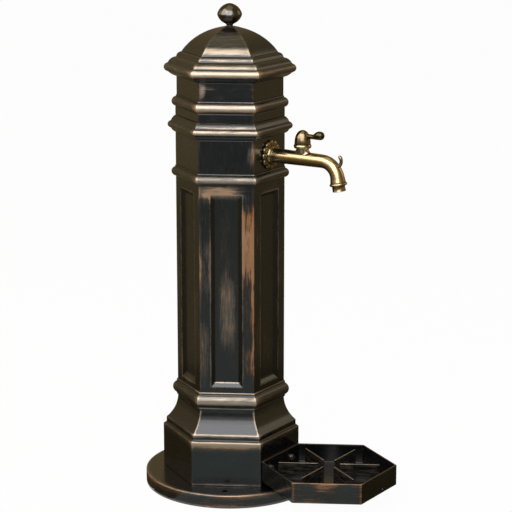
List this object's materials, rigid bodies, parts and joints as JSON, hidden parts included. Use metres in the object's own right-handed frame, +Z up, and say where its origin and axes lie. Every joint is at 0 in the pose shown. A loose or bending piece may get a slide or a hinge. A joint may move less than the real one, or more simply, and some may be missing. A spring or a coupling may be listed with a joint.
{
  "type": "garden standpipe",
  "caption": "Six-sided garden standpipe on a round base, with a panelled shaft, domed roof and finial, a brass lever tap and a ribbed drip tray.",
  "frame": {"origin": "on the column's axis, at the underside of the base plate", "axes": "+Z up along the column, +X from the column's axis towards the tap and the tray, +Y to the left of the tap seen from behind the column"},
  "size_m": [0.539, 0.356, 1],
  "materials": {
    "patina_casting": "dark antique-copper patina, rubbed through at the edges, semi-gloss",
    "polished_brass": "polished",
    "plain_brass": "as turned",
    "zinc_steel": "zinc plated",
    "copper_pipe": "drawn copper",
    "rubber_seal": "matt",
    "valve_ceramic": "lapped"
  },
  "bodies": {
    "column": {"base_plate": "patina_casting", "plinth": "patina_casting", "foot_ring": "patina_casting", "shaft": "patina_casting", "neck_ring": "patina_casting", "tap_block": "patina_casting", "collar_moulding": "patina_casting", "head_band": "patina_casting", "head_ring": "patina_casting", "lantern_block": "patina_casting", "roof_cornice": "patina_casting", "dome_cap": "patina_casting", "finial": "patina_casting", "tie_rod": "zinc_steel", "tie_rod_nut": "zinc_steel", "tie_rod_washer": "zinc_steel", "base_screws": "zinc_steel", "inlet_union": "plain_brass", "riser_pipe": "copper_pipe", "riser_nuts": "plain_brass", "inlet_elbow": "plain_brass", "tap_body": "polished_brass", "rosette": "polished_brass", "tap_washer": "rubber_seal", "tap_backnut": "plain_brass", "spout_nozzle": "polished_brass", "nozzle_washer": "rubber_seal", "valve_cartridge": "plain_brass", "bonnet_nut": "polished_brass", "fixed_disc": "valve_ceramic", "disc_seal": "rubber_seal", "spindle_seal": "rubber_seal", "tray_pan": "patina_casting", "tray_ribs": "patina_casting", "tray_bolts": "zinc_steel", "tray_washers": "zinc_steel", "tray_nuts": "zinc_steel"},
    "lever": {"lever_handle": "polished_brass", "spindle": "plain_brass", "moving_disc": "valve_ceramic", "handle_screw": "zinc_steel"}
  },
  "joints": [
    {"name": "lever_turn", "type": "hinge", "parent": "column", "child": "lever", "pos_m": [0.174, 0, 0.74], "axis": [0, 0, 1], "range_deg": [0, 90]}
  ]
}
